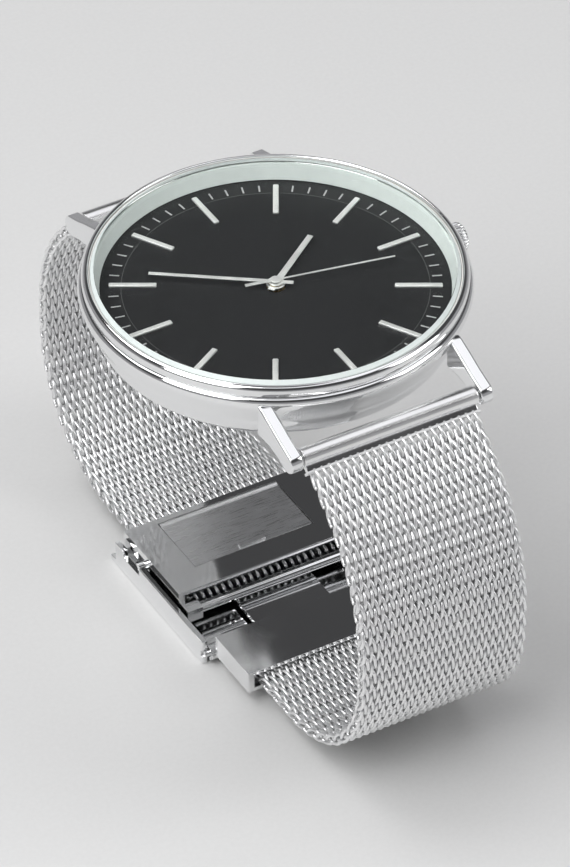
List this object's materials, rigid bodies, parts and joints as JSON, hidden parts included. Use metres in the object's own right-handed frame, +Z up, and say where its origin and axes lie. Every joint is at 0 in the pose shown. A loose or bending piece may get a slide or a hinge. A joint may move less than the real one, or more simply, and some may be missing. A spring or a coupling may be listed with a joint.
{
  "type": "wristwatch with woven chain band",
  "caption": "Slim round dress wristwatch with black dial on a closed woven-mesh chain band with a fold-over sliding clasp.",
  "frame": {"origin": "on the flat outer face of the clasp cover, under the centre of the dial, where the closed loop rests", "axes": "+Z up out of the dial, +Y towards 12 o'clock along the band, +X towards the crown at 3 o'clock"},
  "size_m": [0.0419, 0.0672, 0.0437],
  "materials": {
    "polished_steel": "mirror polished stainless steel",
    "satin_steel": "satin stainless steel",
    "silvered": "pale fine-grained silver",
    "mesh_steel": "bright woven stainless steel wire",
    "brass": "plain turned brass",
    "copper_coil": "enamelled copper wire",
    "dial_black": "satin black dial with silvered batons",
    "flange_paint": "pale silver-grey ring",
    "mineral_glass": "clear flat glass with a bevelled edge",
    "nylon": "white nylon",
    "black_rubber": "nitrile rubber",
    "circuit_green": "lacquered circuit board"
  },
  "bodies": {
    "case": {"case_middle": "polished_steel", "bezel": "polished_steel", "crystal": "mineral_glass", "crystal_gasket": "nylon", "dial_flange_ring": "flange_paint", "case_back": "satin_steel", "case_back_gasket": "black_rubber", "dial": "dial_black", "movement_holder": "nylon", "main_plate": "brass", "train_bridge": "brass", "battery": "satin_steel", "circuit_board": "circuit_green", "coil": "copper_coil", "stator": "satin_steel", "crown_tube": "polished_steel", "spring_bar_6": "satin_steel", "spring_bar_12": "satin_steel"},
    "seconds_work": {"seconds_hand": "silvered", "seconds_wheel": "brass"},
    "fifth_work": {"fifth_wheel": "brass"},
    "rotor_work": {"motor_rotor": "satin_steel"},
    "third_work": {"third_wheel": "brass"},
    "minute_work": {"minute_hand": "silvered", "cannon_pinion": "satin_steel", "centre_wheel": "brass"},
    "motion_work": {"minute_wheel": "brass"},
    "setting_work": {"setting_wheel": "satin_steel"},
    "hour_work": {"hour_hand": "silvered", "hour_wheel": "brass"},
    "stem_lever": {"setting_lever": "satin_steel"},
    "crown_and_stem": {"crown": "polished_steel", "winding_stem": "satin_steel", "sliding_pinion": "satin_steel", "crown_gasket": "black_rubber"},
    "band_6_link_1": {"end_link_6": "polished_steel", "band_6_section_1": "mesh_steel"},
    "band_6_link_2": {"band_6_section_2": "mesh_steel"},
    "band_6_link_3": {"band_6_section_3": "mesh_steel"},
    "band_6_link_4": {"band_6_section_4": "mesh_steel"},
    "band_6_link_5": {"band_6_section_5": "mesh_steel"},
    "band_6_link_6": {"band_6_section_6": "mesh_steel", "clasp_base": "polished_steel", "clasp_hinge_pin": "satin_steel"},
    "band_12_link_1": {"end_link_12": "polished_steel", "band_12_section_1": "mesh_steel"},
    "band_12_link_2": {"band_12_section_2": "mesh_steel"},
    "band_12_link_3": {"band_12_section_3": "mesh_steel"},
    "band_12_link_4": {"band_12_section_4": "mesh_steel"},
    "band_12_link_5": {"band_12_section_5": "mesh_steel"},
    "band_12_link_6": {"band_12_section_6": "mesh_steel", "clasp_slider": "polished_steel", "slider_bar": "polished_steel"},
    "clasp_cover_body": {"clasp_cover": "polished_steel"},
    "slider_lock_body": {"slider_lock_tab": "satin_steel"}
  },
  "joints": [
    {"name": "seconds_hand_turn", "type": "hinge", "parent": "case", "child": "seconds_work", "pos_m": [0, 0, 0.04031], "axis": [0, 0, -1], "continuous": true},
    {"name": "fifth_wheel_turn", "type": "hinge", "parent": "case", "child": "fifth_work", "pos_m": [0, -0.003, 0.04031], "axis": [0, 0, -1], "continuous": true},
    {"name": "motor_rotor_turn", "type": "hinge", "parent": "case", "child": "rotor_work", "pos_m": [0.0015, -0.00447, 0.04031], "axis": [0, 0, -1], "continuous": true},
    {"name": "third_wheel_turn", "type": "hinge", "parent": "case", "child": "third_work", "pos_m": [0.0024, 0.0024, 0.04031], "axis": [0, 0, -1], "continuous": true},
    {"name": "minute_hand_turn", "type": "hinge", "parent": "case", "child": "minute_work", "pos_m": [0, 0, 0.04031], "axis": [0, 0, -1], "continuous": true},
    {"name": "minute_wheel_turn", "type": "hinge", "parent": "case", "child": "motion_work", "pos_m": [0, 0.0024, 0.04031], "axis": [0, 0, -1], "continuous": true},
    {"name": "setting_wheel_turn", "type": "hinge", "parent": "case", "child": "setting_work", "pos_m": [0.00263, 0.00144, 0.04031], "axis": [0, 0, -1], "continuous": true},
    {"name": "hour_hand_turn", "type": "hinge", "parent": "case", "child": "hour_work", "pos_m": [0, 0, 0.04031], "axis": [0, 0, -1], "continuous": true},
    {"name": "crown_pull", "type": "slide", "parent": "case", "child": "stem_lever", "axis": [1, 0, 0], "range_m": [0, 0.0012]},
    {"name": "crown_turn", "type": "hinge", "parent": "stem_lever", "child": "crown_and_stem", "pos_m": [0.02, 0, 0.03921], "axis": [1, 0, 0], "continuous": true},
    {"name": "band_6_bend_1", "type": "hinge", "parent": "case", "child": "band_6_link_1", "pos_m": [0, -0.022, 0.03861], "axis": [-1, 0, 0], "range_deg": [0, 40]},
    {"name": "band_6_bend_2", "type": "hinge", "parent": "band_6_link_1", "child": "band_6_link_2", "pos_m": [0, -0.02928, 0.03204], "axis": [-1, 0, 0], "range_deg": [0, 25]},
    {"name": "band_6_bend_3", "type": "hinge", "parent": "band_6_link_2", "child": "band_6_link_3", "pos_m": [0, -0.03292, 0.02425], "axis": [-1, 0, 0], "range_deg": [0, 25]},
    {"name": "band_6_bend_4", "type": "hinge", "parent": "band_6_link_3", "child": "band_6_link_4", "pos_m": [0, -0.03292, 0.01325], "axis": [-1, 0, 0], "range_deg": [0, 30]},
    {"name": "band_6_bend_5", "type": "hinge", "parent": "band_6_link_4", "child": "band_6_link_5", "pos_m": [0, -0.02917, 0.00675], "axis": [-1, 0, 0], "range_deg": [0, 30]},
    {"name": "band_6_bend_6", "type": "hinge", "parent": "band_6_link_5", "child": "band_6_link_6", "pos_m": [0, -0.02267, 0.003], "axis": [-1, 0, 0], "range_deg": [0, 30]},
    {"name": "band_12_bend_1", "type": "hinge", "parent": "case", "child": "band_12_link_1", "pos_m": [0, 0.022, 0.03861], "axis": [1, 0, 0], "range_deg": [0, 40]},
    {"name": "band_12_bend_2", "type": "hinge", "parent": "band_12_link_1", "child": "band_12_link_2", "pos_m": [0, 0.02928, 0.03204], "axis": [1, 0, 0], "range_deg": [0, 25]},
    {"name": "band_12_bend_3", "type": "hinge", "parent": "band_12_link_2", "child": "band_12_link_3", "pos_m": [0, 0.03292, 0.02425], "axis": [1, 0, 0], "range_deg": [0, 25]},
    {"name": "band_12_bend_4", "type": "hinge", "parent": "band_12_link_3", "child": "band_12_link_4", "pos_m": [0, 0.03292, 0.01325], "axis": [1, 0, 0], "range_deg": [0, 30]},
    {"name": "band_12_bend_5", "type": "hinge", "parent": "band_12_link_4", "child": "band_12_link_5", "pos_m": [0, 0.02917, 0.00675], "axis": [1, 0, 0], "range_deg": [0, 30]},
    {"name": "band_12_bend_6", "type": "hinge", "parent": "band_12_link_5", "child": "band_12_link_6", "pos_m": [0, 0.02267, 0.003], "axis": [1, 0, 0], "range_deg": [0, 30]},
    {"name": "clasp_cover_open", "type": "hinge", "parent": "band_6_link_6", "child": "clasp_cover_body", "pos_m": [0, -0.005, 0.00125], "axis": [-1, 0, 0], "range_deg": [0, 100]},
    {"name": "slider_lock_lift", "type": "hinge", "parent": "band_12_link_6", "child": "slider_lock_body", "pos_m": [0, 0.0121, 0.0041], "axis": [-1, 0, 0], "range_deg": [0, 45]}
  ],
  "couplings": [
    {"joint": "fifth_wheel_turn", "follows": "seconds_hand_turn", "ratio": -5},
    {"joint": "motor_rotor_turn", "follows": "seconds_hand_turn", "ratio": 30},
    {"joint": "third_wheel_turn", "follows": "seconds_hand_turn", "ratio": -0.13333},
    {"joint": "minute_hand_turn", "follows": "seconds_hand_turn", "ratio": 0.016667},
    {"joint": "minute_wheel_turn", "follows": "seconds_hand_turn", "ratio": -0.0055556},
    {"joint": "setting_wheel_turn", "follows": "seconds_hand_turn", "ratio": 0.01},
    {"joint": "hour_hand_turn", "follows": "seconds_hand_turn", "ratio": 0.0013889},
    {"joint": "band_6_bend_2", "follows": "band_6_bend_1", "ratio": 0.625},
    {"joint": "band_6_bend_3", "follows": "band_6_bend_1", "ratio": 0.625},
    {"joint": "band_6_bend_4", "follows": "band_6_bend_1", "ratio": 0.75},
    {"joint": "band_6_bend_5", "follows": "band_6_bend_1", "ratio": 0.75},
    {"joint": "band_6_bend_6", "follows": "band_6_bend_1", "ratio": 0.75},
    {"joint": "band_12_bend_1", "follows": "band_6_bend_1", "ratio": 1},
    {"joint": "band_12_bend_2", "follows": "band_6_bend_1", "ratio": 0.625},
    {"joint": "band_12_bend_3", "follows": "band_6_bend_1", "ratio": 0.625},
    {"joint": "band_12_bend_4", "follows": "band_6_bend_1", "ratio": 0.75},
    {"joint": "band_12_bend_5", "follows": "band_6_bend_1", "ratio": 0.75},
    {"joint": "band_12_bend_6", "follows": "band_6_bend_1", "ratio": 0.75}
  ]
}
